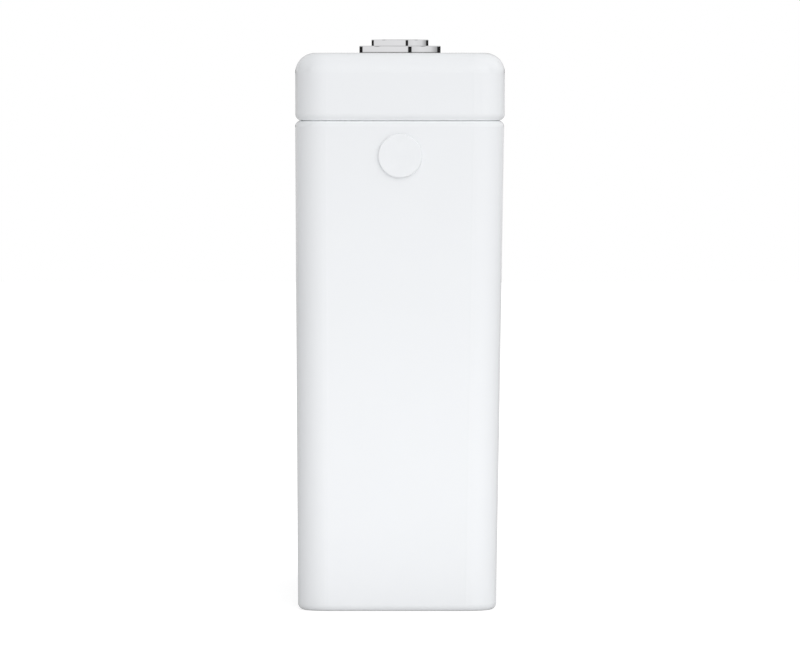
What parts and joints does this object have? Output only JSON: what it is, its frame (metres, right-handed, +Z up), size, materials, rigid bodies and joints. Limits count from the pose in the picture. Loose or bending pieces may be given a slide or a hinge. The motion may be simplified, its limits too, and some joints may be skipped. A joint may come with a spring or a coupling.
{
  "type": "toilet cistern",
  "caption": "Close-coupled ceramic toilet cistern with a deep rounded lid, a two-part chrome push button, a side inlet fill valve and a dual flush valve.",
  "frame": {"origin": "where the flush outlet's axis meets the plane of the base", "axes": "+Z up, front towards -Y, wall side +Y, water inlet on the +X side, X along the width"},
  "size_m": [0.4012, 0.1503, 0.4093],
  "materials": {
    "tank_glaze": "gloss white glaze",
    "lid_glaze": "gloss white glaze",
    "bezel_chrome": "polished",
    "key_chrome": "polished",
    "plug_white": "gloss",
    "seal_rubber": "matte",
    "gasket_foam": "matte, fine cell",
    "nut_white": "satin",
    "spring_steel": "bright",
    "rod_plastic": "satin",
    "base_plastic": "satin",
    "cage_plastic": "satin",
    "lever_plastic": "satin",
    "half_plastic": "satin",
    "tube_plastic": "satin",
    "float_plastic": "satin",
    "filter_mesh": "mesh",
    "pilot_plastic": "satin"
  },
  "bodies": {
    "tank": {"tank_body": "tank_glaze", "valve_base": "base_plastic", "base_seal": "seal_rubber", "outlet_back_nut": "nut_white", "coupling_gasket": "gasket_foam", "valve_cage": "cage_plastic", "cage_cap": "base_plastic", "lever_pivot_pin": "spring_steel", "blanking_plug": "plug_white", "plug_washer": "seal_rubber", "plug_nut": "nut_white", "fill_valve_body": "tube_plastic", "inlet_washer": "seal_rubber", "inlet_nut": "nut_white", "inlet_filter": "filter_mesh", "fill_valve_cap": "nut_white", "diaphragm": "seal_rubber", "float_lever_pin": "spring_steel", "delivery_tube": "tube_plastic"},
    "lid": {"tank_lid": "lid_glaze", "button_bezel": "bezel_chrome", "button_nut": "nut_white", "full_key_spring": "spring_steel", "half_key_spring": "spring_steel"},
    "full_key": {"full_flush_key": "key_chrome", "full_push_rod": "rod_plastic", "full_rod_locknut": "rod_plastic"},
    "half_key": {"half_flush_key": "key_chrome", "half_push_rod": "rod_plastic", "half_rod_locknut": "rod_plastic"},
    "full_lever": {"full_flush_lever": "lever_plastic"},
    "half_lever": {"half_flush_lever": "half_plastic"},
    "flush_tube": {"overflow_tube": "tube_plastic", "seal_carrier": "base_plastic", "flush_seal": "seal_rubber", "flush_float": "float_plastic", "lift_yoke": "lever_plastic"},
    "half_link": {"half_lift_link": "half_plastic", "half_flush_float": "half_plastic"},
    "float": {"float_cup": "float_plastic", "float_rod": "rod_plastic", "float_rod_nut": "nut_white"},
    "float_arm": {"float_lever": "lever_plastic"},
    "pilot": {"pilot_pin": "pilot_plastic"}
  },
  "joints": [
    {"name": "lid_lift", "type": "slide", "parent": "tank", "child": "lid", "axis": [0, 0, 1], "range_m": [0, 0.06]},
    {"name": "full_key_press", "type": "slide", "parent": "lid", "child": "full_key", "axis": [0, 0, -1], "range_m": [0, 0.0058], "stiffness_N_per_m": 300, "springref_m": -0.01, "deforming": ["full_key_spring"]},
    {"name": "half_key_press", "type": "slide", "parent": "lid", "child": "half_key", "axis": [0, 0, -1], "range_m": [0, 0.0058], "stiffness_N_per_m": 300, "springref_m": -0.01, "deforming": ["half_key_spring"]},
    {"name": "full_lever_rock", "type": "hinge", "parent": "tank", "child": "full_lever", "pos_m": [0, 0, 0.3], "axis": [0, -1, 0], "range_deg": [0, 28]},
    {"name": "half_lever_rock", "type": "hinge", "parent": "tank", "child": "half_lever", "pos_m": [0, 0, 0.3], "axis": [0, 1, 0], "range_deg": [0, 28]},
    {"name": "flush_tube_lift", "type": "slide", "parent": "tank", "child": "flush_tube", "axis": [0, 0, 1], "range_m": [0, 0.01452]},
    {"name": "half_link_lift", "type": "slide", "parent": "tank", "child": "half_link", "axis": [0, 0, 1], "range_m": [0, 0.01452]},
    {"name": "float_rise", "type": "slide", "parent": "tank", "child": "float", "axis": [0, 0, 1], "range_m": [0, 0.0089]},
    {"name": "float_arm_rock", "type": "hinge", "parent": "tank", "child": "float_arm", "pos_m": [0.133, 0, 0.352], "axis": [0, 1, 0], "range_deg": [0, 26]},
    {"name": "pilot_press", "type": "slide", "parent": "tank", "child": "pilot", "axis": [0, 0, -1], "range_m": [0, 0.00315]}
  ],
  "couplings": [
    {"joint": "full_lever_rock", "follows": "full_key_press", "rad_per_m": 84.168},
    {"joint": "flush_tube_lift", "follows": "full_key_press", "ratio": 2.5},
    {"joint": "half_lever_rock", "follows": "half_key_press", "rad_per_m": 84.168},
    {"joint": "half_link_lift", "follows": "half_key_press", "ratio": 2.5},
    {"joint": "float_arm_rock", "follows": "float_rise", "rad_per_m": 50.432},
    {"joint": "pilot_press", "follows": "float_rise", "ratio": 0.35}
  ]
}
